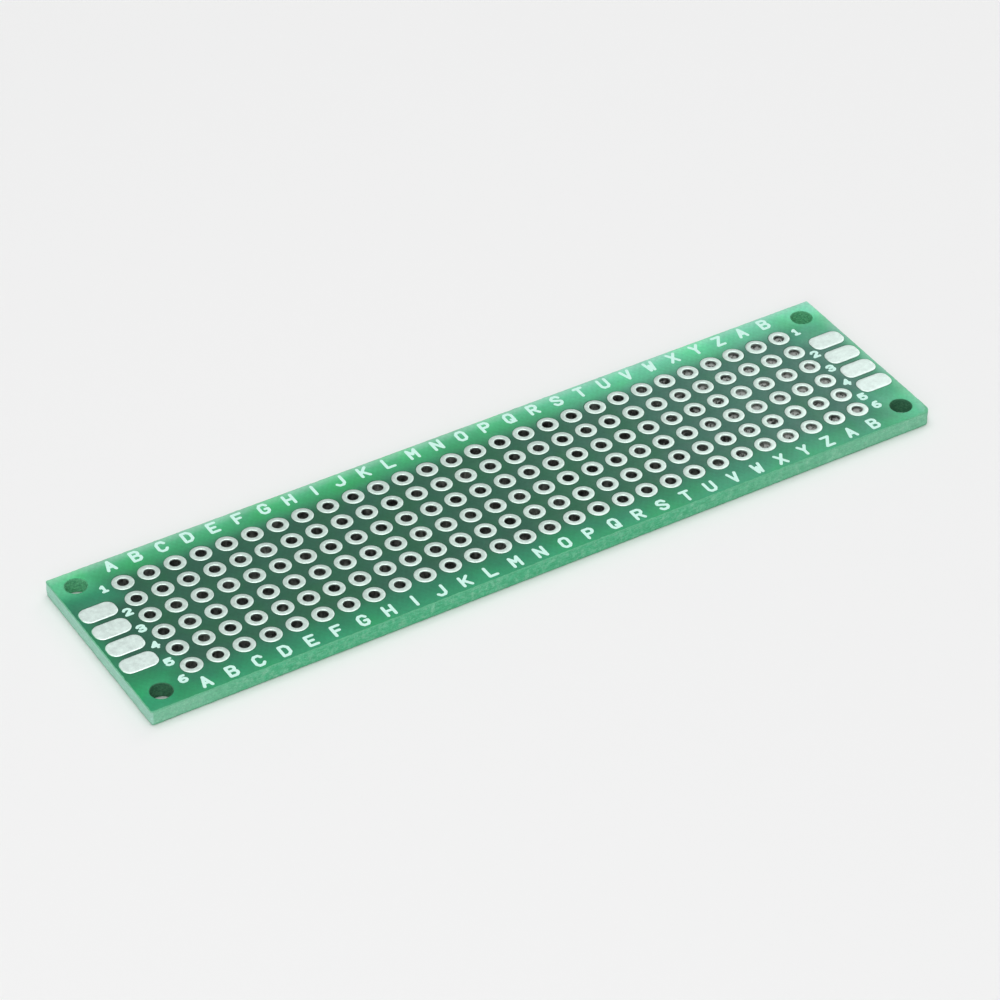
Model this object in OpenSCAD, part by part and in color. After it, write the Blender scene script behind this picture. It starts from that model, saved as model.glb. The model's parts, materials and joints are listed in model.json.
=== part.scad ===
// Double-sided prototype board with a full grid of plated through holes.
// The board lies flat. The origin is at the middle of its underside, +X runs along
// its length, +Y points to its rear edge, where row 1 is, and +Z points up.

/* [Board] */
// Length of the board
board_l = 80; // [60:0.5:94]
// Width of the board
board_w = 20; // [14:0.5:26]
// Thickness of the glass-fibre laminate
laminate_t = 1.5; // [0.8:0.1:2.4]
// Radius of the three corners that are still square
corner_r = 0.2; // [0.05:0.05:0.5]
// Radius of the front right corner, which is worn
worn_corner_r = 0.7; // [0.1:0.05:0.9]

/* [Hole grid] */
// Distance between neighbouring holes
pitch = 2.54; // [2.2:0.01:3.2]
// Finished diameter of a plated hole
hole_d = 1; // [0.7:0.05:1.2]
// Thickness of the metal on the wall of a hole
plating_t = 0.05; // [0.03:0.01:0.08]
// Gap between that metal and the drilled laminate
drill_clearance = 0.02; // [0.02:0.005:0.04]
// Diameter of the ring round a hole
land_d = 2; // [1.6:0.05:2.1]
// Thickness of the tinned copper on both faces
copper_t = 0.05; // [0.04:0.01:0.1]

/* [End pads] */
// Length of an end pad
end_pad_l = 3.4; // [2:0.1:4]
// Width of an end pad
end_pad_w = 2; // [1.7:0.1:2.1]
// Corner radius of an end pad
end_pad_corner_r = 0.8; // [0.2:0.05:0.85]
// Distance from an end pad to the end of the board
end_pad_inset = 0.35; // [0.1:0.05:0.5]

/* [Corner holes] */
// Diameter of the four bare corner holes
corner_hole_d = 2; // [1.5:0.1:2.4]
// Distance from the middle of a corner hole to each edge
corner_hole_inset = 2; // [1.7:0.1:2.3]

/* [Solder mask] */
// Thickness of the solder mask
mask_t = 0.03; // [0.02:0.005:0.035]
// Gap between the solder mask and the tinned copper
mask_clearance = 0.05; // [0.03:0.01:0.06]

/* [Legend] */
// Thickness of the printed legend
legend_t = 0.02; // [0.01:0.005:0.03]
// Height of a column letter
letter_h = 1.5; // [1.2:0.1:1.7]
// Width of a column letter
letter_w = 1.05; // [0.8:0.05:1.3]
// Width of the strokes of a column letter
letter_stroke = 0.3; // [0.15:0.01:0.34]
// Distance from the middle of a column letter to the long edge of the board
letter_inset = 1.11; // [0.95:0.01:1.2]
// Least gap between the column letters and the rings
letter_gap = 0.2; // [0.1:0.05:0.4]
// Height of a row number
number_h = 1.05; // [0.9:0.05:1.2]
// Width of a row number
number_w = 0.85; // [0.7:0.05:0.95]
// Width of the strokes of a row number
number_stroke = 0.28; // [0.12:0.01:0.3]
// Least gap between a row number and the copper on each side of it
number_gap = 0.03; // [0.02:0.01:0.1]
// How much further out a row number stands where no end pad is beside its row
number_shift = 0.4; // [0.2:0.05:0.5]
// How much lower than its row the last number on the right stands
number_drop = 0.35; // [0:0.05:0.4]

/* [Hidden] */
$fn = 64;
STROKE_END_STEPS = 4;
GLYPH_W = 4;
GLYPH_H = 6;

// Strokes of the index letters A to Z, on a grid of 4 by 6 from the lower left
LETTERS = [
    [[[0, 0], [2, 6], [4, 0]], [[0.7, 2], [3.3, 2]]],
    [
        [[2.8, 3.2], [4, 2.2], [4, 1], [3, 0], [0, 0], [0, 6], [2.7, 6], [3.7, 5.2], [3.7, 4.1], [2.8, 3.2]],
        [[2.8, 3.2], [0, 3.2]]
    ],
    [[[4, 4.8], [3, 6], [1, 6], [0, 4.8], [0, 1.2], [1, 0], [3, 0], [4, 1.2]]],
    [[[0, 0], [0, 6], [2.6, 6], [4, 4.6], [4, 1.4], [2.6, 0], [0, 0]]],
    [[[4, 0], [0, 0], [0, 6], [4, 6]], [[0, 3], [3, 3]]],
    [[[0, 0], [0, 6], [4, 6]], [[0, 3], [3, 3]]],
    [[[4, 4.8], [3, 6], [1, 6], [0, 4.8], [0, 1.2], [1, 0], [3, 0], [4, 1.2], [4, 2.7], [2.5, 2.7]]],
    [[[0, 0], [0, 6]], [[4, 0], [4, 6]], [[0, 3], [4, 3]]],
    [[[2, 0], [2, 6]]],
    [[[4, 6], [4, 1.2], [3, 0], [1, 0], [0, 1.2]]],
    [[[0, 0], [0, 6]], [[4, 6], [0, 2.2]], [[1.4, 3.5], [4, 0]]],
    [[[0, 6], [0, 0], [4, 0]]],
    [[[0, 0], [0, 6], [2, 2.8], [4, 6], [4, 0]]],
    [[[0, 0], [0, 6], [4, 0], [4, 6]]],
    [[[1, 0], [0, 1.2], [0, 4.8], [1, 6], [3, 6], [4, 4.8], [4, 1.2], [3, 0], [1, 0]]],
    [[[0, 0], [0, 6], [3, 6], [4, 5.1], [4, 3.8], [3, 2.8], [0, 2.8]]],
    [[[1, 0], [0, 1.2], [0, 4.8], [1, 6], [3, 6], [4, 4.8], [4, 1.2], [3, 0], [1, 0]], [[2.4, 1.8], [4, 0]]],
    [[[0, 0], [0, 6], [3, 6], [4, 5.1], [4, 3.8], [3, 2.8], [0, 2.8]], [[2, 2.8], [4, 0]]],
    [[[4, 4.8], [3, 6], [1, 6], [0, 5], [0, 4], [4, 2.2], [4, 1.1], [3, 0], [1, 0], [0, 1.2]]],
    [[[0, 6], [4, 6]], [[2, 6], [2, 0]]],
    [[[0, 6], [0, 1.2], [1, 0], [3, 0], [4, 1.2], [4, 6]]],
    [[[0, 6], [2, 0], [4, 6]]],
    [[[0, 6], [1, 0], [2, 3.8], [3, 0], [4, 6]]],
    [[[0, 0], [4, 6]], [[0, 6], [4, 0]]],
    [[[0, 6], [2, 3], [4, 6]], [[2, 3], [2, 0]]],
    [[[0, 6], [4, 6], [0, 0], [4, 0]]]
];

// Strokes of the digits 0 to 9, on the same grid
DIGITS = [
    [[[1, 0], [0, 1.2], [0, 4.8], [1, 6], [3, 6], [4, 4.8], [4, 1.2], [3, 0], [1, 0]]],
    [[[0.8, 4.6], [2.2, 6], [2.2, 0]], [[0.8, 0], [3.6, 0]]],
    [[[0, 4.8], [1, 6], [3, 6], [4, 4.8], [4, 3.8], [0, 0], [4, 0]]],
    [
        [[0, 4.9], [1, 6], [3, 6], [4, 5], [4, 4], [3, 3.1], [1.4, 3.1]],
        [[3, 3.1], [4, 2.2], [4, 1], [3, 0], [1, 0], [0, 1.1]]
    ],
    [[[3, 0], [3, 6], [0, 1.9], [4, 1.9]]],
    [[[4, 6], [0.4, 6], [0, 3], [1, 3.8], [3, 3.8], [4, 2.8], [4, 1.1], [3, 0], [1, 0], [0, 1]]],
    [[[3.6, 6], [1.8, 6], [0, 3.8], [0, 1.2], [1, 0], [3, 0], [4, 1.2], [4, 2.2], [3, 3.3], [0, 3.3]]],
    [[[0, 6], [4, 6], [1.4, 0]]],
    [
        [[1, 3.1], [3, 3.1], [4, 4.1], [4, 5], [3, 6], [1, 6], [0, 5], [0, 4.1], [1, 3.1]],
        [[3, 3.1], [4, 2.1], [4, 1], [3, 0], [1, 0], [0, 1], [0, 2.1], [1, 3.1]]
    ],
    [[[0.4, 0], [2.2, 0], [4, 2.2], [4, 4.8], [3, 6], [1, 6], [0, 4.8], [0, 3.8], [1, 2.7], [4, 2.7]]]
];

// Heights of the layers, from the underside up
laminate_z = copper_t;
top_z = laminate_z + laminate_t;
board_t = top_z + copper_t;

// The grid takes as many holes as leave room for the end pads, numbers and letters
number_lane = number_w + 2 * number_gap;
least_end_margin = end_pad_inset + end_pad_l + number_lane + land_d / 2;
least_side_margin = letter_inset + letter_h / 2 + letter_gap + land_d / 2;
columns = floor((board_l - 2 * least_end_margin) / pitch) + 1;
rows = floor((board_w - 2 * least_side_margin) / pitch) + 1;

// End pads lie in line with every row but the first and the last
end_pads = rows - 2;
end_pad_x = board_l / 2 - end_pad_inset - end_pad_l / 2;
number_x = (end_pad_x - end_pad_l / 2 + column_x(columns) + land_d / 2) / 2;

// Ends and faces of the board: name, and direction or height
ENDS = [["left", -1], ["right", 1]];
FACES = [["top", top_z], ["bottom", 0]];

// Corners of a rectangle, with the turn that brings the first one there
CORNERS = [[1, 1, 0], [-1, 1, 90], [-1, -1, 180], [1, -1, 270]];

function column_x(column) = (column - (columns + 1) / 2) * pitch;
function row_y(row) = ((rows + 1) / 2 - row) * pitch;
function two_digits(n) = str(n < 10 ? "0" : "", n);
function column_name(column) = str("column_", two_digits(column), "_plated_holes");
function end_pad_name(end, face, n) = str("end_pad_", end[0], "_", face[0], "_", n);

// What stays of a square corner outside its rounding
module corner_waste(radius) {
    difference() {
        square(radius);
        circle(radius);
    }
}

// Rectangle with a radius for each corner, in the order of CORNERS
module rounded_rectangle(length, width, radii) {
    difference() {
        square([length, width], center = true);
        for (i = [0:3]) {
            corner = CORNERS[i];
            translate([corner[0] * (length / 2 - radii[i]), corner[1] * (width / 2 - radii[i])])
                rotate(corner[2])
                    corner_waste(radii[i]);
        }
    }
}

module board_outline() {
    rounded_rectangle(board_l, board_w, [corner_r, corner_r, corner_r, worn_corner_r]);
}

module at_grid_holes() {
    for (column = [1:columns], row = [1:rows])
        translate([column_x(column), row_y(row)])
            children();
}

module at_corner_holes() {
    for (corner = CORNERS)
        translate([
            corner[0] * (board_l / 2 - corner_hole_inset),
            corner[1] * (board_w / 2 - corner_hole_inset)
        ])
            children();
}

module at_end_pad(end, n) {
    translate([end[1] * end_pad_x, row_y(n + 1)])
        children();
}

// Outline of an end pad, grown on every side by a margin
module end_pad_outline(margin) {
    radius = end_pad_corner_r + margin;
    rounded_rectangle(
        end_pad_l + 2 * margin,
        end_pad_w + 2 * margin,
        [radius, radius, radius, radius]
    );
}

module laminate() {
    color([0.72, 0.84, 0.66])
        translate([0, 0, laminate_z])
            linear_extrude(laminate_t)
                difference() {
                    board_outline();
                    at_grid_holes() circle(d = hole_d + 2 * (plating_t + drill_clearance));
                    at_corner_holes() circle(d = corner_hole_d);
                }
}

// Sheet of solder mask with openings for all the copper of one face
module solder_mask(z) {
    color([0.2, 0.55, 0.38])
        translate([0, 0, z])
            linear_extrude(mask_t)
                difference() {
                    board_outline();
                    at_grid_holes() circle(d = land_d + 2 * mask_clearance);
                    at_corner_holes() circle(d = corner_hole_d);
                    for (end = ENDS, n = [1:end_pads])
                        at_end_pad(end, n) end_pad_outline(mask_clearance);
                }
}

module solder_mask_top() {
    solder_mask(top_z);
}

module solder_mask_bottom() {
    solder_mask(laminate_z - mask_t);
}

// Barrel through the laminate with a ring on each face, turned from its section
module plated_hole() {
    bore_r = hole_d / 2;
    barrel_r = bore_r + plating_t;
    land_r = land_d / 2;
    rotate_extrude()
        polygon([
            [bore_r, 0],
            [land_r, 0],
            [land_r, laminate_z],
            [barrel_r, laminate_z],
            [barrel_r, top_z],
            [land_r, top_z],
            [land_r, board_t],
            [bore_r, board_t]
        ]);
}

module column_of_plated_holes(column) {
    color([0.84, 0.87, 0.86])
        for (row = [1:rows])
            translate([column_x(column), row_y(row), 0])
                plated_hole();
}

module end_pad(end, face, n) {
    color([0.86, 0.88, 0.87])
        translate([0, 0, face[1]])
            linear_extrude(copper_t)
                at_end_pad(end, n) end_pad_outline(0);
}

// Outline of one stroke from a to b, with round ends
function stroke_outline(a, b, width) =
    let (heading = atan2(b[1] - a[1], b[0] - a[0]), step = 180 / STROKE_END_STEPS)
    [
        for (k = [0:STROKE_END_STEPS])
            let (angle = heading + 90 + k * step)
            a + width / 2 * [cos(angle), sin(angle)],
        for (k = [0:STROKE_END_STEPS])
            let (angle = heading - 90 + k * step)
            b + width / 2 * [cos(angle), sin(angle)]
    ];

// One letter or digit, centred, at its full height and width over the strokes
module glyph(lines, height, width, stroke) {
    cell = [(width - stroke) / GLYPH_W, (height - stroke) / GLYPH_H];
    middle = [(width - stroke) / 2, (height - stroke) / 2];
    for (line = lines) {
        points = [for (p = line) [p[0] * cell[0], p[1] * cell[1]] - middle];
        for (i = [1:len(points) - 1])
            polygon(stroke_outline(points[i - 1], points[i], stroke));
    }
}

// Column letters along both long edges, which start again after Z
module column_letters() {
    for (column = [1:columns], side = [-1, 1])
        translate([column_x(column), side * (board_w / 2 - letter_inset)])
            glyph(LETTERS[(column - 1) % len(LETTERS)], letter_h, letter_w, letter_stroke);
}

// A row number stands beside its row, or below it where an end pad takes that place
module row_numbers() {
    for (end = ENDS, row = [1:rows]) {
        last_right = row == rows && end[1] > 0;
        beside = row == 1 || last_right;
        drop = last_right ? number_drop : (beside ? 0 : pitch / 2);
        translate([end[1] * (number_x + (beside ? number_shift : 0)), row_y(row) - drop])
            glyph(DIGITS[row % len(DIGITS)], number_h, number_w, number_stroke);
    }
}

module legend_top() {
    color([0.93, 0.97, 0.95])
        translate([0, 0, top_z + mask_t])
            linear_extrude(legend_t) {
                column_letters();
                row_numbers();
            }
}

laminate();
solder_mask_top();
solder_mask_bottom();
for (column = [1:columns])
    column_of_plated_holes(column);
for (end = ENDS, face = FACES, n = [1:end_pads])
    end_pad(end, face, n);
legend_top();
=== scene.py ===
"""Looks of the prototype board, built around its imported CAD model.

Sizes are in millimetres, and become metres where a mesh, lamp or camera is made.
"""
import json
import math
from collections import namedtuple

import bmesh
import bpy
import numpy as np
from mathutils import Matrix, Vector, noise
from mathutils.geometry import delaunay_2d_cdt


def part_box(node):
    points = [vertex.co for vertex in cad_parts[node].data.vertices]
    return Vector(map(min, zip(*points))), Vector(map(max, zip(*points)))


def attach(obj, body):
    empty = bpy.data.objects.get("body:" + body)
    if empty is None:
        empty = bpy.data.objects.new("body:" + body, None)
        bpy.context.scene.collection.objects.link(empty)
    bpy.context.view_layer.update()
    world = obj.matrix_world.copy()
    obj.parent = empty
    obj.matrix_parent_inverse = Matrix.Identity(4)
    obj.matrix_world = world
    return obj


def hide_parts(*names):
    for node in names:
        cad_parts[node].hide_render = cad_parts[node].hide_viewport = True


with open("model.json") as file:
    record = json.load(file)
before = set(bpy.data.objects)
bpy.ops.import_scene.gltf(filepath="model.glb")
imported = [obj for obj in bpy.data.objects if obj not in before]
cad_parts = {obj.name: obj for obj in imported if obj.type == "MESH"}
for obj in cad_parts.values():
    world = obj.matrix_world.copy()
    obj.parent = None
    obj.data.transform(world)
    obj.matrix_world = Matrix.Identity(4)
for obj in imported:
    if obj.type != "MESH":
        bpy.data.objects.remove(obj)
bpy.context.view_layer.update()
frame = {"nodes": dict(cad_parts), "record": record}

MM = 0.001


def node_box(node):
    """Lowest and highest corner of a CAD node."""
    lo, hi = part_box(node)
    return np.array(lo) / MM, np.array(hi) / MM


def mount(name):
    """Dimensions of a mount of the record."""
    return next(m for m in frame["record"]["mounts"] if m["name"] == name)["dims"]


# Sizes that the CAD model states
COLUMNS = sorted(n for n in frame["nodes"] if n.endswith("_plated_holes"))
END_PADS = sorted(n for n in frame["nodes"] if n.startswith("end_pad_"))
BOARD_LO, BOARD_HI = node_box("laminate")
MASK_T = node_box("solder_mask_top")[1][2] - BOARD_HI[2]
FIRST_LO, FIRST_HI = node_box(COLUMNS[0])
COLUMN_X = [float(sum(b[0] for b in node_box(c))) / 2 for c in COLUMNS]
PITCH = COLUMN_X[1] - COLUMN_X[0]
LAND_R = (FIRST_HI[0] - FIRST_LO[0]) / 2
ROWS = round((FIRST_HI[1] - FIRST_LO[1] - 2 * LAND_R) / PITCH) + 1
ROW_Y = [((ROWS - 1) / 2 - row) * PITCH for row in range(ROWS)]
BOTTOM, TOP = FIRST_LO[2], FIRST_HI[2]
PADS_X = max(node_box(pad)[1][0] for pad in END_PADS)
PADS_Y = max(node_box(pad)[1][1] for pad in END_PADS)
COPPER_T = TOP - BOARD_HI[2]
BORE_R = mount("first_lead_hole")["r_mm"]
CORNER_HOLE_R = mount("corner_holes")["hole_r_mm"]
CORNER_HOLE_X = mount("corner_holes")["spacing_x_mm"] / 2
CORNER_HOLE_Y = mount("corner_holes")["spacing_y_mm"] / 2

# Sizes that the CAD model has but doesn't state
PLATING_T = 0.05
DRILL_CLEARANCE = 0.02
DRILL_R = BORE_R + PLATING_T + DRILL_CLEARANCE
MASK_CLEARANCE = 0.05
CORNER_R = 0.2
WORN_CORNER_R = 0.7
END_PAD_CORNER_R = 0.8

# Wear of the sawn edge and the corner holes: how deep it is, the width and height of its spots, and
# the share of its depth that it has as a rule, with how much that varies
EDGE_WEAR = 0.05
CORNER_HOLE_WEAR = 0.03
WEAR_SPOT, WEAR_SPOT_HEIGHT = 0.9, 0.5
WEAR_SHARE, WEAR_SHARE_RANGE = 0.45, 0.55

# Chips of the solder mask: how far back from the sawn edge, how much that varies, and what the worn
# corner adds to both within its reach
CHIP, CHIP_RANGE, CHIP_SPOT = 0.08, 0.055, 0.5
CORNER_CHIP, CORNER_CHIP_RANGE, CORNER_CHIP_REACH = 0.3, 0.15, 1.8

# Fractal noise: how smooth it is, the ratio between the sizes of its layers, and their number. The
# chips take theirs from one slice of it
WEAR_NOISE = (0.7, 2.0, 4)
CHIP_NOISE = (0.6, 2.2, 4)
CHIP_SLICE = 3.1

# Edges of the laminate: depth below its face, and how far the walls stand back there. Then the depth
# at which the plain wall starts, and its number of levels
BOARD_BEVEL = ((0.0, 0.04), (0.02, 0.012))
PLAIN_WALL_FROM = 0.06
WALL_LEVELS = 10

# Edges of mask and pads: height as a share of their thickness, and how far the walls stand back there
MASK_RIM = ((0, 0), (0.55, 0), (0.85, 0.006), (1, 0.02))
PAD_RIM = (
    (0.0, 0.0), (0.4, 0.0), (0.62, 0.012), (0.79, 0.035), (0.9, 0.08), (0.96, 0.17), (0.99, 0.33),
    (1.0, 0.6),
)
MASK_BACK_FROM_CORNER_HOLE = 0.06

# Domed ring: distance inward from its rim, then outward from the bore, each with the height as a
# share of the copper's thickness, which is below 0 inside the hole
LAND_RIM = (
    (0.0, 0.0), (0.0, 0.4), (0.01, 0.55), (0.03, 0.68), (0.06, 0.79), (0.11, 0.88), (0.17, 0.94),
    (0.23, 0.98), (0.29, 1.0),
)
LAND_MOUTH = (
    (0.15, 0.985), (0.1, 0.95), (0.065, 0.88), (0.04, 0.75), (0.02, 0.45), (0.01, -0.1),
    (0.003, -1.0), (0.0, -2.0),
)

# How far a ring lies off its bore, as a rule and at most
LAND_DRIFT, MOST_LAND_DRIFT = 0.02, 0.035

# Faces of a ring this near to its bore belong to the barrel
BARREL_REACH = 0.001

# Detail of the meshes
ROUND_POINTS = 40
HIDDEN_POINTS = 20
ARC_POINTS = 9
EDGE_STEP = 0.2
SMOOTH_ANGLE = math.radians(38)
SEED = 5

# Level of the background as the camera sees it, 1 being white
BACKGROUND = 0.87

# What the triangulation keeps, which is the inside of the first loop without its openings, and how
# near two points are one to it
INSIDE_WITH_HOLES = 2
SAME_POINT = 1e-6

# Directions of the corners of a rectangle, with the angle at which its arc starts
CORNERS = ((1, 1, 0), (-1, 1, 90), (-1, -1, 180), (1, -1, 270))


# Closed line with its outward directions, its material slot, and how deep its wall is worn
Loop = namedtuple("Loop", "points outward slot wear", defaults=(0, 0.0))


def circle(centre, radius, points=ROUND_POINTS):
    """Round loop of that many points."""
    angles = np.linspace(0, 2 * math.pi, points, endpoint=False)
    outward = np.column_stack([np.cos(angles), np.sin(angles)])
    return Loop(np.array(centre) + radius * outward, outward)


def rounded_rectangle(lo, hi, radii, step=None):
    """Rectangle with a radius at each of CORNERS, and points along its sides at that step."""
    lo, hi = np.array(lo[:2]), np.array(hi[:2])
    arcs = []
    for (side_x, side_y, start), radius in zip(CORNERS, radii):
        corner = np.array([hi[0] if side_x > 0 else lo[0], hi[1] if side_y > 0 else lo[1]])
        angles = np.radians(np.linspace(start, start + 90, ARC_POINTS))
        outward = np.column_stack([np.cos(angles), np.sin(angles)])
        arcs.append((corner - radius * np.array([side_x, side_y]) + radius * outward, outward))
    points, outward = [], []
    for (here, out), (after, _) in zip(arcs, arcs[1:] + arcs[:1]):
        points.append(here)
        outward.append(out)
        span = after[0] - here[-1]
        parts = int(np.linalg.norm(span) / step) if step else 1
        for k in range(1, parts):
            points.append((here[-1] + span * k / parts)[None])
            outward.append(out[-1:])
    return Loop(np.concatenate(points), np.concatenate(outward))


def grown(loop, by):
    """The loop moved outward by a distance, or by one for each of its points."""
    distances = np.broadcast_to(by, len(loop.points))[:, None]
    return loop._replace(points=loop.points + distances * loop.outward)


class Body:
    """Vertices and faces of one mesh while it is being built."""

    def __init__(self):
        self.verts, self.faces, self.slots = [], [], []

    def add_ring(self, points, height):
        """Adds vertices at one height, or at one height each, and returns their numbers."""
        first = len(self.verts)
        heights = np.broadcast_to(height, len(points))
        self.verts += [(p[0], p[1], z) for p, z in zip(points, heights)]
        return list(range(first, first + len(points)))

    def add_face(self, face, slot=0):
        self.faces.append(face)
        self.slots.append(slot)

    def join(self, below, above, slot=0):
        """Quads between two closed rings of as many vertices."""
        count = len(below)
        for i in range(count):
            k = (i + 1) % count
            self.add_face((below[i], below[k], above[k], above[i]), slot)

    def cap(self, rings):
        """Fills the flat area between an outer ring and the rings of its openings."""
        numbers = [n for ring in rings for n in ring]
        place = {n: i for i, n in enumerate(numbers)}
        loops = [[place[n] for n in ring] for ring in rings]
        loops = loops[:1] + [loop[::-1] for loop in loops[1:]]
        flat = [Vector(self.verts[n][:2]) for n in numbers]
        made = delaunay_2d_cdt(flat, [], loops, INSIDE_WITH_HOLES, SAME_POINT)
        for face in made[2]:
            self.add_face(tuple(numbers[made[3][i][0]] for i in face))

    def finish(self, name, materials):
        """Makes the object, in metres, with its faces turned outward."""
        mesh = bpy.data.meshes.new(name)
        mesh.from_pydata([tuple(c * MM for c in v) for v in self.verts], [], self.faces)
        for material in materials:
            mesh.materials.append(material)
        mesh.polygons.foreach_set("material_index", self.slots)
        built = bmesh.new()
        built.from_mesh(mesh)
        bmesh.ops.recalc_face_normals(built, faces=built.faces)
        built.to_mesh(mesh)
        built.free()
        mesh.polygons.foreach_set("use_smooth", [True] * len(mesh.polygons))
        mesh.set_sharp_from_angle(angle=SMOOTH_ANGLE)
        made = bpy.data.objects.new(name, mesh)
        bpy.context.scene.collection.objects.link(made)
        return made


def worn_back(loop, height):
    """How far a rough wall stands back from its line at each point, from nothing to its wear."""
    if not loop.wear:
        return 0.0
    layer = height / WEAR_SPOT_HEIGHT
    places = [Vector((x / WEAR_SPOT, y / WEAR_SPOT, layer)) for x, y in loop.points]
    spots = np.array([noise.fractal(place, *WEAR_NOISE) for place in places])
    return loop.wear * np.clip(WEAR_SHARE + WEAR_SHARE_RANGE * spots, 0.0, 1.0)


def stack(body, outer, openings, levels):
    """Solid between an outline and its openings. A level is a height and how far the walls stand back."""
    loops = [outer] + openings
    rings = []
    for height, inset in levels:
        backs = [inset + worn_back(loop, height) for loop in loops]
        signs = [-1] + [1] * len(openings)
        rings.append([
            body.add_ring(grown(loop, sign * back).points, height)
            for loop, sign, back in zip(loops, signs, backs)
        ])
    for below, above in zip(rings, rings[1:]):
        for loop, low, high in zip(loops, below, above):
            body.join(low, high, loop.slot)
    body.cap(rings[0])
    body.cap(rings[-1])


# Material slot of the laminate for the walls of its corner holes, which follows that of the rest
DRILLED_SLOT = 1


def corner_holes():
    """The four corner holes with rough drilled walls."""
    places = [(x * CORNER_HOLE_X, y * CORNER_HOLE_Y) for x, y, _ in CORNERS]
    return [circle(p, CORNER_HOLE_R)._replace(slot=DRILLED_SLOT, wear=CORNER_HOLE_WEAR) for p in places]


def board_outline():
    """Outline of the board with its worn front right corner."""
    radii = [CORNER_R, CORNER_R, CORNER_R, WORN_CORNER_R]
    return rounded_rectangle(BOARD_LO, BOARD_HI, radii, EDGE_STEP)


def glass_fibre_board(materials):
    """Drilled laminate with rough sawn sides."""
    drilled = [circle((x, y), DRILL_R, HIDDEN_POINTS) for x in COLUMN_X for y in ROW_Y]
    low, high = BOARD_LO[2], BOARD_HI[2]
    heights = np.linspace(low + PLAIN_WALL_FROM, high - PLAIN_WALL_FROM, WALL_LEVELS)
    levels = [(low + depth, back) for depth, back in BOARD_BEVEL]
    levels += [(z, 0.0) for z in heights]
    levels += [(high - depth, back) for depth, back in reversed(BOARD_BEVEL)]
    body = Body()
    stack(body, board_outline()._replace(wear=EDGE_WEAR), drilled + corner_holes(), levels)
    return body.finish("glass_fibre_board", materials)


def mask_chips(points):
    """How far the solder mask has chipped back from the sawn edge, most of all at the worn corner."""
    places = [Vector((x / CHIP_SPOT, y / CHIP_SPOT, CHIP_SLICE)) for x, y in points]
    spots = np.clip([noise.fractal(place, *CHIP_NOISE) for place in places], -1, 1)
    reach = np.linalg.norm(points - [BOARD_HI[0], BOARD_LO[1]], axis=1)
    corner = np.clip(1 - reach / CORNER_CHIP_REACH, 0, 1)
    return CHIP + CHIP_RANGE * spots + corner * (CORNER_CHIP + CORNER_CHIP_RANGE * spots)


def mask_sheet(side, materials):
    """Solder mask of the top or the bottom, with rounded edges where it faces out."""
    base, rise = (BOARD_HI[2], MASK_T) if side == "top" else (BOARD_LO[2], -MASK_T)
    outline = board_outline()
    outer = grown(outline, -mask_chips(outline.points))
    openings = [circle((x, y), LAND_R + MASK_CLEARANCE) for x in COLUMN_X for y in ROW_Y]
    for hole in corner_holes():
        openings.append(grown(hole, MASK_BACK_FROM_CORNER_HOLE)._replace(slot=0, wear=0.0))
    for pad in END_PADS:
        if f"_{side}_" in pad:
            lo, hi = node_box(pad)
            openings.append(grown(rounded_rectangle(lo, hi, [END_PAD_CORNER_R] * 4), MASK_CLEARANCE))
    body = Body()
    stack(body, outer, openings, [(base + rise * share, back) for share, back in MASK_RIM])
    return body.finish(f"mask_sheet_{side}", materials)


def land_profile(up):
    """Section of one ring from the drilled wall outward and round to the bore, above or below."""
    base = BOARD_HI[2] if up else BOARD_LO[2]
    rise = COPPER_T if up else -COPPER_T
    profile = [(BORE_R + PLATING_T, base)]
    profile += [(LAND_R - back, base + rise * share) for back, share in LAND_RIM]
    profile += [(BORE_R + back, base + rise * share) for back, share in LAND_MOUTH]
    return profile


# Numbers of the material slots of the tinned holes
LAND_SLOT, BARREL_SLOT = 0, 1


def tinned_holes(name, x, materials, random):
    """One column of plated holes, whose rings lie a little off their bores."""
    upper, lower = land_profile(True), land_profile(False)
    section = upper + lower[::-1]
    peak_r = (BORE_R + LAND_R) / 2
    body = Body()
    for y in ROW_Y:
        drift = np.clip(random.normal(0, LAND_DRIFT, 2), -MOST_LAND_DRIFT, MOST_LAND_DRIFT)
        rings = []
        for radius, z in section:
            share = min(max((radius - BORE_R - PLATING_T) / (peak_r - BORE_R), 0), 1)
            rings.append(body.add_ring(circle((x, y) + share * drift, radius).points, z))
        for low, high, start, end in zip(rings, rings[1:] + rings[:1], section, section[1:] + section[:1]):
            inside = max(start[0], end[0]) < BORE_R + BARREL_REACH
            body.join(low, high, BARREL_SLOT if inside else LAND_SLOT)
    return body.finish(name, materials)


def tinned_pad(name, node, materials):
    """One end pad in the place of its node, rounded where it faces out."""
    lo, hi = node_box(node)
    up = lo[2] > BOARD_LO[2]
    base, rise = (lo[2], COPPER_T) if up else (hi[2], -COPPER_T)
    outline = rounded_rectangle(lo, hi, [END_PAD_CORNER_R] * 4)
    body = Body()
    stack(body, outline, [], [(base + rise * share, back) for share, back in PAD_RIM])
    return body.finish(name, materials)


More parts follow.
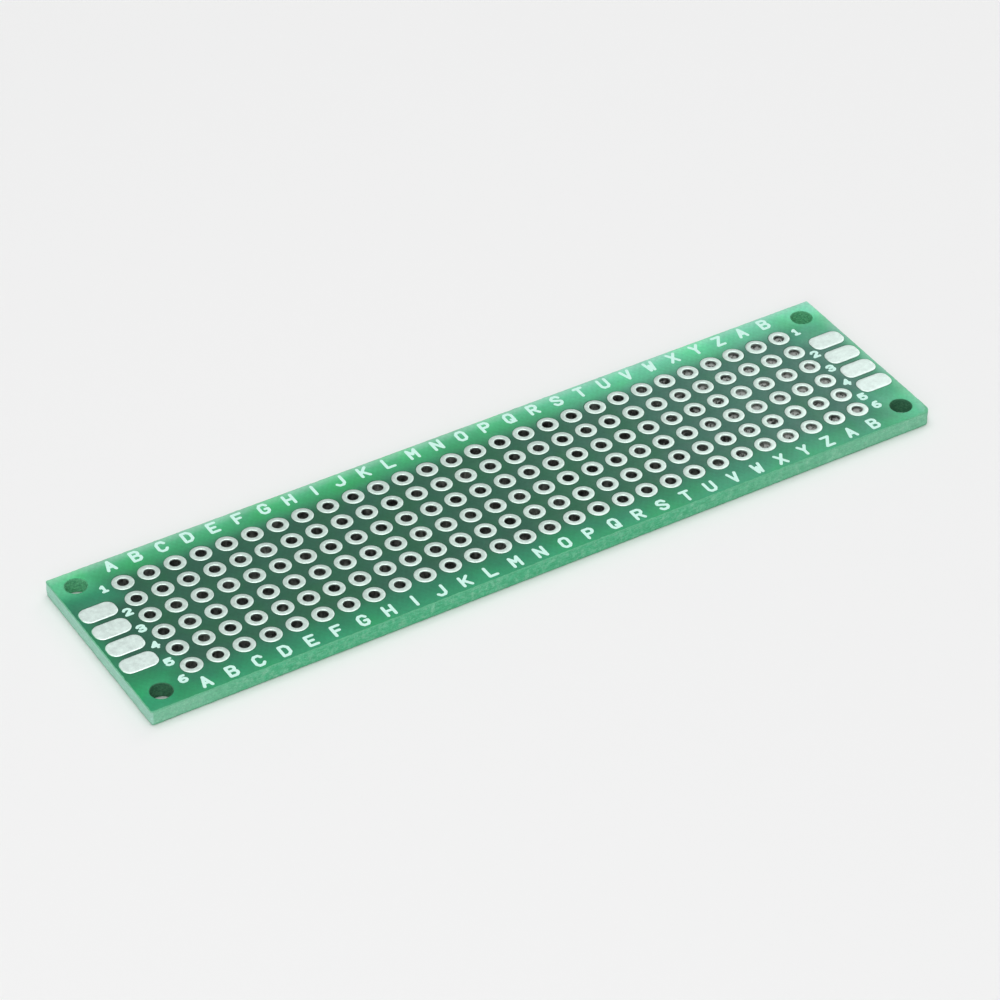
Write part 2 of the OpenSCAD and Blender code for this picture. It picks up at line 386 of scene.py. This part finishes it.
class Graph:
    """Adds nodes to a new material or world, and links them in the same call."""

    def __init__(self, owner):
        owner.use_nodes = True
        self.tree = owner.node_tree
        self.tree.nodes.clear()

    def add(self, kind, inputs=(), **settings):
        """Node of that kind. An input is a value or the output of another node."""
        node = self.tree.nodes.new(kind)
        for key, value in settings.items():
            setattr(node, key, value)
        for key, value in dict(inputs).items():
            if isinstance(value, bpy.types.NodeSocket):
                self.tree.links.new(value, node.inputs[key])
            else:
                node.inputs[key].default_value = value
        return node

    def vector(self, operation, a, b=(0, 0, 0), scale=1.0):
        inputs = {0: a, "Scale": scale} if operation == "SCALE" else {0: a, 1: b}
        return self.add("ShaderNodeVectorMath", inputs, operation=operation).outputs[0]

    def math(self, operation, a, b=0.0):
        return self.add("ShaderNodeMath", {0: a, 1: b}, operation=operation).outputs[0]

    def place(self):
        """Place on the object in millimetres."""
        return self.vector("SCALE", self.add("ShaderNodeTexCoord").outputs["Object"], scale=1 / MM)

    def axes(self, place):
        """The three coordinates of a place."""
        return self.add("ShaderNodeSeparateXYZ", {0: place}).outputs

    def noise(self, size, detail=2.0, stretch=(1, 1, 1), roughness=0.5):
        """Noise from 0 to 1 whose largest spots have that size, stretched along the axes."""
        place = self.vector("MULTIPLY", self.place(), [1 / s for s in stretch])
        inputs = {"Vector": place, "Scale": 1 / size, "Detail": detail, "Roughness": roughness}
        return self.add("ShaderNodeTexNoise", inputs).outputs[0]

    def between(self, value, start, end, low=0.0, high=1.0):
        """Low up to the start, high from the end on, and a soft change between them."""
        inputs = {"Value": value, 1: start, 2: end, 3: low, 4: high}
        return self.add("ShaderNodeMapRange", inputs, interpolation_type="SMOOTHSTEP").outputs[0]

    def blend(self, share, a, b, mode="MIX"):
        """Colour a where the share is 0, and colour b where it is 1."""
        inputs = {0: share, 6: a, 7: b}
        return self.add("ShaderNodeMix", inputs, data_type="RGBA", blend_type=mode).outputs[2]

    def shade(self, share, colour, dark, light):
        """The colour times a grey that goes from dark to light with the share."""
        grey = self.between(share, 0.25, 0.75, dark, light)
        return self.blend(1.0, colour, grey, "MULTIPLY")

    def bump(self, height, depth):
        """Normal of a surface whose height goes from 0 to that depth."""
        inputs = {"Height": height, "Distance": depth * MM, "Strength": 1.0}
        return self.add("ShaderNodeBump", inputs).outputs[0]

    def surface(self, **inputs):
        """Surface of the material. An underscore stands for the space in the name of an input."""
        inputs = {key.replace("_", " "): value for key, value in inputs.items()}
        self.output("ShaderNodeOutputMaterial", self.add("ShaderNodeBsdfPrincipled", inputs).outputs[0])

    def mix(self, share, a, b):
        """Shader a where the share is 0, and shader b where it is 1."""
        return self.add("ShaderNodeMixShader", {0: share, 1: a, 2: b}).outputs[0]

    def output(self, kind, shader):
        self.add(kind, {"Surface": shader})

    def path(self, kind):
        """1 for rays of that kind, and 0 for others."""
        return self.add("ShaderNodeLightPath").outputs[kind]

    def mirrored(self):
        """1 for rays that metal or glass sends on, and 0 for others."""
        return self.math("MAXIMUM", self.path("Is Glossy Ray"), self.path("Is Transmission Ray"))


def rgb(red, green, blue):
    """Colour on the screen, from 0 to 255, as a colour for a shader."""
    levels = [c / 255 for c in (red, green, blue)]
    return (*[c / 12.92 if c < 0.04045 else ((c + 0.055) / 1.055) ** 2.4 for c in levels], 1.0)


WHITE = rgb(255, 255, 255)
FLOOR = rgb(247, 247, 247)

# Solder mask, with painted light and shade: painted shade over the grid, then painted light round the
# grid and at the edges in front, behind and behind at the right, a painted glow of the rims and a painted
# sheen that make it paler, and what makes it greener
SHADED_GRID = rgb(33, 91, 70)
ROUND_GRID_FRONT, ROUND_GRID_REAR, ROUND_GRID_RIGHT = rgb(37, 127, 93), rgb(50, 160, 103), rgb(54, 178, 119)
MARGIN_FRONT, MARGIN_REAR, MARGIN_RIGHT = rgb(38, 150, 105), rgb(88, 192, 140), rgb(102, 214, 166)
GLOWING_RIM, PAINTED_SHEEN = rgb(170, 215, 196), rgb(168, 228, 222)
GREENER = (0.78, 1.06, 0.86, 1)

# Cut laminate: its layers, what lies over them, the paler ends of the long sides, of which the right one
# is painted sheen, the short sides, the ragged rims, and painted shade on the faces under the mask
PLY_DARK, PLY_LIGHT = rgb(62, 172, 120), rgb(92, 199, 150)
BLOTCH, FLECK = rgb(150, 222, 188), rgb(172, 222, 198)
PALE_END, SHORT_SIDE = rgb(178, 224, 202), rgb(167, 222, 200)
RAGGED_RIM, SHADED_FACE_UNDER_MASK = rgb(104, 192, 147), rgb(44, 96, 74)
DRILLED_DARK, DRILLED_LIGHT = rgb(68, 149, 110), rgb(113, 194, 147)

# Tin of the rings, the end pads and the holes, the painted highlights in the holes, and the ink
RING_TIN, PAD_TIN, HOLE_TIN = rgb(219, 238, 230), rgb(238, 255, 249), rgb(206, 210, 204)
PAINTED_GLINT = rgb(250, 252, 250)
INK = rgb(214, 255, 243)

# Painted shade of the end pads: how many times as bright they are at the right as at the left
PAD_SHADE_AT_RIGHT = 0.88

# Zones of the solder mask's painted light and shade: where each starts and ends, and its share where that
# isn't the whole
REAR = (5.8, 8.6)
RIGHT_END = (34.0, 39.5, 0, 0.5)
RIGHT_HALF = (5.0, 15.0)
OFF_GRID = (-1.7, 0.7)
OUT_TO_EDGE = (0.4, 2.7)
REAR_EDGE = (BOARD_HI[1] - 1.15, BOARD_HI[1] + 0.1, 0, 0.6)
RIGHT_EDGE = (BOARD_HI[0] - 1.3, BOARD_HI[0] + 0.1, 0, 0.4)
SHEEN_REAR = (2.0, 20.0, 0.02, 0.13)
SHEEN_ALONG = (-5.0, 36.0, 0, 0.09)

# Distances between the threads that show through the mask, along and across the board
WARP, WEFT = 0.58, 0.82


def past_copper(g, x, y):
    """Distance from the grid of rings with the end pads, which is below 0 inside it."""
    wide, deep = g.math("ABSOLUTE", x), g.math("ABSOLUTE", y)

    def past(corner_x, corner_y):
        return g.math("MAXIMUM", g.math("SUBTRACT", wide, corner_x), g.math("SUBTRACT", deep, corner_y))

    return g.math("MINIMUM", past(COLUMN_X[-1] + LAND_R, ROW_Y[0] + LAND_R), past(PADS_X, PADS_Y))


def painted_mask_light(g, x, y):
    """Painted shade over the grid and painted light towards the edges, most of all behind and at the right,
    with a painted glow at the rims and a painted sheen.
    """
    rear = g.math("MAXIMUM", g.between(y, *REAR), g.between(x, *RIGHT_END))
    right = g.between(x, *RIGHT_HALF)
    rear_inner = g.blend(right, ROUND_GRID_REAR, ROUND_GRID_RIGHT)
    rear_outer = g.blend(right, MARGIN_REAR, MARGIN_RIGHT)
    inner = g.blend(rear, ROUND_GRID_FRONT, rear_inner)
    outer = g.blend(rear, MARGIN_FRONT, rear_outer)
    copper = past_copper(g, x, y)
    # Painted shade over the grid, and painted light round it and out to the edges
    colour = g.blend(g.between(copper, *OFF_GRID), SHADED_GRID, inner)
    colour = g.blend(g.between(copper, *OUT_TO_EDGE), colour, outer)
    # Painted glow along the rims behind and at the right
    pale = g.math("MAXIMUM", g.between(y, *REAR_EDGE), g.between(x, *RIGHT_EDGE))
    colour = g.blend(pale, colour, GLOWING_RIM)
    # Painted sheen behind, growing towards the right
    sheen = g.math("MULTIPLY", rear, g.between(x, *SHEEN_REAR))
    sheen = g.math("ADD", sheen, g.between(x, *SHEEN_ALONG))
    return g.blend(sheen, colour, PAINTED_SHEEN)


def thread_relief(g, x, y):
    """Crossing threads under the mask, from 0 to 1."""
    warp = g.math("SINE", g.math("MULTIPLY", x, 2 * math.pi / WARP))
    weft = g.math("SINE", g.math("MULTIPLY", y, 2 * math.pi / WEFT))
    return g.math("ADD", g.math("MULTIPLY", g.math("MULTIPLY", warp, weft), 0.5), 0.5)


def mask_material():
    """Glossy green mask, cloudy and finely spotted, with the threads below it and painted light and shade
    over its zones.
    """
    made = bpy.data.materials.new("glossy_green_mask")
    g = Graph(made)
    x, y, _ = g.axes(g.place())
    weave = thread_relief(g, x, y)
    colour = g.shade(g.noise(3.0, 3.0), painted_mask_light(g, x, y), 0.92, 1.08)
    greener = g.blend(1.0, colour, GREENER, "MULTIPLY")
    colour = g.blend(g.between(g.noise(4.5, 2.0), 0.42, 0.66), colour, greener)
    colour = g.shade(g.noise(0.25, 4.0, roughness=0.65), colour, 0.93, 1.08)
    g.surface(
        Base_Color=g.shade(weave, colour, 0.975, 1.025),
        Roughness=g.between(g.noise(0.4, 3.0), 0.2, 0.8, 0.28, 0.4),
        Specular_IOR_Level=0.3,
        Normal=g.bump(g.math("ADD", g.math("MULTIPLY", weave, 0.3), g.noise(0.7, 3.0)), 0.004),
    )
    return made


# Zones of the cut laminate along the board: where each starts and ends, and its share; towards the right end
# the paler colour is painted sheen
PALE_LEFT = (-28.0, -38.0, 0, 0.36)
SHEEN_ON_RIGHT_END = (8.0, 40.0, 0, 0.31)
AT_SHORT_SIDE = (BOARD_HI[0] - 0.3, BOARD_HI[0] - 0.1)

# Zones of it across its thickness, as distances from the middle: the rims and the covered faces with their
# painted shade
HALF_BOARD = (BOARD_HI[2] - BOARD_LO[2]) / 2
AT_RIM = (HALF_BOARD - 0.14, HALF_BOARD + 0.02, 0, 0.85)
AT_FACE = (HALF_BOARD - 0.01, HALF_BOARD - 0.002)

# Distances inward from the outline between which the covered faces start
IN_FROM_OUTLINE = (0.5, 0.8)


def laminate_face(g, x, y, from_middle):
    """Share of the flat faces that the mask covers, which is 0 on the cut sides."""
    from_edge_x = g.math("SUBTRACT", BOARD_HI[0], g.math("ABSOLUTE", x))
    from_edge_y = g.math("SUBTRACT", BOARD_HI[1], g.math("ABSOLUTE", y))
    inside = g.between(g.math("MINIMUM", from_edge_x, from_edge_y), *IN_FROM_OUTLINE)
    return g.math("MULTIPLY", inside, g.between(from_middle, *AT_FACE))


def laminate_material():
    """Sawn glass fibre in layers, blotched and flecked, with ragged paler rims, a painted sheen towards the
    right end, and painted shade on the covered faces.
    """
    made = bpy.data.materials.new("cut_glass_fibre")
    g = Graph(made)
    x, y, z = g.axes(g.place())
    plies = g.noise(0.1, 4.0, (9, 9, 1), 0.6)
    colour = g.blend(g.between(plies, 0.3, 0.7), PLY_DARK, PLY_LIGHT)
    blotch = g.between(g.noise(0.45, 3.0, roughness=0.65), 0.4, 0.68, 0, 0.32)
    colour = g.blend(blotch, colour, BLOTCH)
    # Paler towards both ends; towards the right this is painted sheen
    pale = g.math("ADD", g.between(x, *PALE_LEFT), g.between(x, *SHEEN_ON_RIGHT_END))
    colour = g.blend(pale, colour, PALE_END)
    short_side = g.between(g.math("ABSOLUTE", x), *AT_SHORT_SIDE)
    colour = g.blend(short_side, colour, g.shade(plies, SHORT_SIDE, 0.85, 1.1))
    fleck = g.between(g.noise(0.6, 4.0, roughness=0.7), 0.5, 0.75, 0, 0.5)
    colour = g.blend(fleck, colour, FLECK)
    from_middle = g.math("ABSOLUTE", g.math("SUBTRACT", z, BOARD_LO[2] + HALF_BOARD))
    ragged = g.math("ADD", from_middle, g.math("MULTIPLY", plies, 0.12))
    colour = g.blend(g.between(ragged, *AT_RIM), colour, RAGGED_RIM)
    # Painted shade on the faces under the mask
    colour = g.blend(laminate_face(g, x, y, from_middle), colour, SHADED_FACE_UNDER_MASK)
    g.surface(
        Base_Color=g.shade(g.noise(0.12, 3.0), colour, 0.88, 1.1),
        Roughness=g.between(plies, 0.3, 0.7, 0.55, 0.75),
        Specular_IOR_Level=0.35,
        Normal=g.bump(g.math("ADD", plies, g.noise(0.09, 4.0, roughness=0.7)), 0.03),
    )
    return made


def drilled_material():
    """Drilled glass fibre of the corner holes, with painted shade that makes it darker in front than behind.
    """
    made = bpy.data.materials.new("drilled_glass_fibre")
    g = Graph(made)
    _, y, _ = g.axes(g.place())
    plies = g.noise(0.1, 4.0, (3, 3, 1), 0.6)
    colour = g.blend(g.between(plies, 0.3, 0.7), DRILLED_DARK, DRILLED_LIGHT)
    # Painted shade: darker in the front holes, lighter in the rear ones
    colour = g.blend(1.0, colour, g.between(y, -CORNER_HOLE_Y, CORNER_HOLE_Y, 0.55, 1.3), "MULTIPLY")
    g.surface(
        Base_Color=g.shade(g.noise(0.15, 3.0), colour, 0.75, 1.1),
        Roughness=0.7,
        Specular_IOR_Level=0.3,
        Normal=g.bump(g.noise(0.12, 4.0, roughness=0.7), 0.05),
    )
    return made


def tin_material(name, colour, right=1.0):
    """Satin tin, whose colour painted shade makes that many times as bright at the right end as at the left
    one.
    """
    made = bpy.data.materials.new(name)
    g = Graph(made)
    x, _, _ = g.axes(g.place())
    # Painted shade towards the right end
    colour = g.blend(1.0, colour, g.between(x, -35.0, 35.0, 1.0, right), "MULTIPLY")
    colour = g.shade(g.noise(0.5, 3.0), colour, 0.88, 1.0)
    waves, grains = g.noise(0.35, 3.0), g.noise(0.06, 3.0)
    g.surface(
        Base_Color=g.shade(g.noise(0.09, 3.0, roughness=0.7), colour, 1.0, 0.9),
        Metallic=1.0,
        Roughness=g.between(g.noise(0.3, 3.0), 0.3, 0.7, 0.28, 0.42),
        Normal=g.bump(g.math("ADD", waves, g.math("MULTIPLY", grains, 0.2)), 0.012),
    )
    return made


# Painted highlights in the holes: how far from the middle of the board's thickness they thin out, how the
# noise that makes them is raised along the board, and how strong they are there
GLINTS_DEEP = (0.25, 0.55, 1.0, 0.1)
GLINTS_COMMON = (13.0, 28.0, -0.14, 0.11)
GLINTS_STRONG = (11.0, 26.0, 0.2, 1.0)


def painted_glints(g, x, z):
    """Share of the painted highlights deep in the holes, most of it towards the right."""
    from_middle = g.math("ABSOLUTE", g.math("SUBTRACT", z, (TOP + BOTTOM) / 2))
    glint_spots = g.math("ADD", g.noise(0.34, 2.0), g.between(x, *GLINTS_COMMON))
    glint_spots = g.between(glint_spots, 0.5, 0.58, 0, g.between(x, *GLINTS_STRONG))
    return g.math("MULTIPLY", g.between(from_middle, *GLINTS_DEEP), glint_spots)


def barrel_material():
    """Dull tin of the holes, uneven from hole to hole and within each, with pale painted highlights."""
    made = bpy.data.materials.new("dull_tin")
    g = Graph(made)
    x, _, z = g.axes(g.place())
    glints = painted_glints(g, x, z)
    colour = g.shade(g.noise(1.7), HOLE_TIN, 0.2, 0.8)
    colour = g.shade(g.noise(0.3, 3.0, (1, 1, 2)), colour, 0.35, 1.2)
    g.surface(
        Base_Color=g.blend(glints, colour, PAINTED_GLINT),
        Metallic=g.between(glints, 0, 1, 1.0, 0.25),
        Roughness=g.between(g.noise(0.2, 3.0), 0.3, 0.7, 0.35, 0.6),
        Normal=g.bump(g.noise(0.15, 3.0, (1, 1, 2)), 0.02),
    )
    return made


def ink_material():
    """Printed white ink with a green cast, slightly uneven."""
    made = bpy.data.materials.new("white_ink")
    g = Graph(made)
    g.surface(
        Base_Color=g.shade(g.noise(0.12, 4.0, roughness=0.7), INK, 0.93, 1.0),
        Roughness=g.between(g.noise(0.2), 0.3, 0.7, 0.45, 0.6),
        Specular_IOR_Level=0.4,
        Normal=g.bump(g.noise(0.08, 3.0), 0.004),
    )
    return made


# Distances from the middle of the board at which the floor starts to fade into the background, and
# is level with it
FLOOR_FADE = (150.0, 450.0)


def floor_material():
    """Pale near the board, level with the background far away, and clear from below."""
    made = bpy.data.materials.new("pale_floor")
    g = Graph(made)
    x, y, _ = g.axes(g.place())
    away = g.math("SQRT", g.math("ADD", g.math("MULTIPLY", x, x), g.math("MULTIPLY", y, y)))
    seen = g.math("MAXIMUM", g.path("Is Camera Ray"), g.mirrored())
    far = g.math("MULTIPLY", g.between(away, *FLOOR_FADE), seen)
    pale = g.add("ShaderNodeBsdfDiffuse", {"Color": FLOOR}).outputs[0]
    level = g.add("ShaderNodeEmission", {"Color": WHITE, "Strength": BACKGROUND}).outputs[0]
    clear = g.add("ShaderNodeBsdfTransparent").outputs[0]
    below = g.add("ShaderNodeNewGeometry").outputs["Backfacing"]
    g.output("ShaderNodeOutputMaterial", g.mix(below, g.mix(far, pale, level), clear))
    return made


def dress(piece, slot, *nodes):
    """The piece stands for these CAD nodes, which it hides, under the root body; the slot is not used."""
    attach(piece, "root")
    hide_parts(*nodes)


def build_board():
    """Makes each piece in the place of its node, and a better ink for the CAD's own legend."""
    mask = [mask_material()]
    hole_tin = [tin_material("satin_tin_on_rings", RING_TIN), barrel_material()]
    pad_tin = [tin_material("satin_tin_on_pads", PAD_TIN, PAD_SHADE_AT_RIGHT)]
    dress(glass_fibre_board([laminate_material(), drilled_material()]), "laminate", "laminate")
    for side in ("top", "bottom"):
        dress(mask_sheet(side, mask), "solder_mask", f"solder_mask_{side}")
    random = np.random.default_rng(SEED)
    for number, (node, x) in enumerate(zip(COLUMNS, COLUMN_X), 1):
        dress(tinned_holes(f"tinned_holes_{number:02d}", x, hole_tin, random), "tinned_copper", node)
    for node in END_PADS:
        dress(tinned_pad(node.replace("end", "tinned"), node, pad_tin), "tinned_copper", node)
    frame["nodes"]["legend_top"].material_slots[0].material = ink_material()


def aim(thing, place, target):
    """Puts a lamp or camera at the place and turns it towards the target."""
    thing.location = Vector(place) * MM
    thing.rotation_euler = (Vector(target) - Vector(place)).to_track_quat("-Z", "Y").to_euler()


def build_lamp(name, place, size, radiance):
    """Square lamp towards the origin that looks as bright as a plain surface of that level, 1 being white."""
    lamp = bpy.data.lights.new(name, "AREA")
    lamp.shape = "SQUARE"
    lamp.size = size * MM
    lamp.energy = 4 * lamp.size**2 * radiance
    made = bpy.data.objects.new(name, lamp)
    bpy.context.scene.collection.objects.link(made)
    aim(made, place, (0, 0, 0))


# Levels of the studio, 1 being white: at the horizon as a light and as reflections show it, and
# how many times that higher up, on a greyer wall and on a paler ceiling
HORIZON_LIGHT, HORIZON_MIRRORED = 0.48, 0.8
WALL, CEILING = 0.58, 0.92

# Heights as the sine of the angle above the horizon, between which the wall and the ceiling start
WALL_STARTS, CEILING_STARTS = (0.15, 0.36), (0.4, 0.6)


def build_world():
    """Background for the camera, and a room of grey levels as a light and in reflections."""
    world = bpy.data.worlds.new("studio")
    bpy.context.scene.world = world
    g = Graph(world)
    _, _, up = g.axes(g.add("ShaderNodeTexCoord").outputs["Generated"])
    wall = g.between(up, *WALL_STARTS, 1.0, WALL)
    room = g.math("ADD", wall, g.between(up, *CEILING_STARTS, 0.0, CEILING - WALL))
    horizon = g.between(g.mirrored(), 0, 1, HORIZON_LIGHT, HORIZON_MIRRORED)
    seen = g.math("MULTIPLY", g.path("Is Camera Ray"), BACKGROUND)
    level = g.math("MAXIMUM", g.math("MULTIPLY", horizon, room), seen)
    backdrop = g.add("ShaderNodeBackground", {"Color": WHITE, "Strength": level})
    g.output("ShaderNodeOutputWorld", backdrop.outputs[0])


# Lamps: place, length of a side, and level of a plain surface that looks as bright
LAMPS = {
    "overhead_lamp": ((0, 40, 650), 600, 1.4),
    "front_left_lamp": ((-330, -380, 330), 300, 2.2),
    "rear_right_lamp": ((400, 240, 360), 280, 0.88),
}

# Floor: half the length of a side, and the gap below the board
FLOOR_REACH, FLOOR_GAP = 4000.0, 0.005


def build_floor():
    """Square floor just below the board."""
    mesh = bpy.data.meshes.new("floor")
    reach, height = FLOOR_REACH * MM, (BOTTOM - FLOOR_GAP) * MM
    mesh.from_pydata([(x * reach, y * reach, height) for x, y, _ in CORNERS], [], [(0, 1, 2, 3)])
    mesh.materials.append(floor_material())
    floor = bpy.data.objects.new("floor", mesh)
    bpy.context.scene.collection.objects.link(floor)


# Camera: its place and what it looks at, its focal length and sensor, and how near and far it sees
CAMERA_PLACE, CAMERA_TARGET = (-144.1, -237.9, 223.2), (0, 0, 0.8)
LENS, SENSOR = 144, 36
NEAREST, FARTHEST = 10, 20000


def build_camera():
    """The photograph's place and direction, with a longer lens so that the board fills the frame."""
    lens = bpy.data.cameras.new("camera")
    lens.lens, lens.sensor_width = LENS, SENSOR
    lens.clip_start, lens.clip_end = NEAREST * MM, FARTHEST * MM
    camera = bpy.data.objects.new("camera", lens)
    bpy.context.scene.collection.objects.link(camera)
    aim(camera, CAMERA_PLACE, CAMERA_TARGET)
    bpy.context.scene.camera = camera


bpy.context.scene.view_settings.view_transform = "Standard"
build_board()
build_floor()
build_world()
for lamp_name, (lamp_place, lamp_size, lamp_level) in LAMPS.items():
    build_lamp(lamp_name, lamp_place, lamp_size, lamp_level)
build_camera()
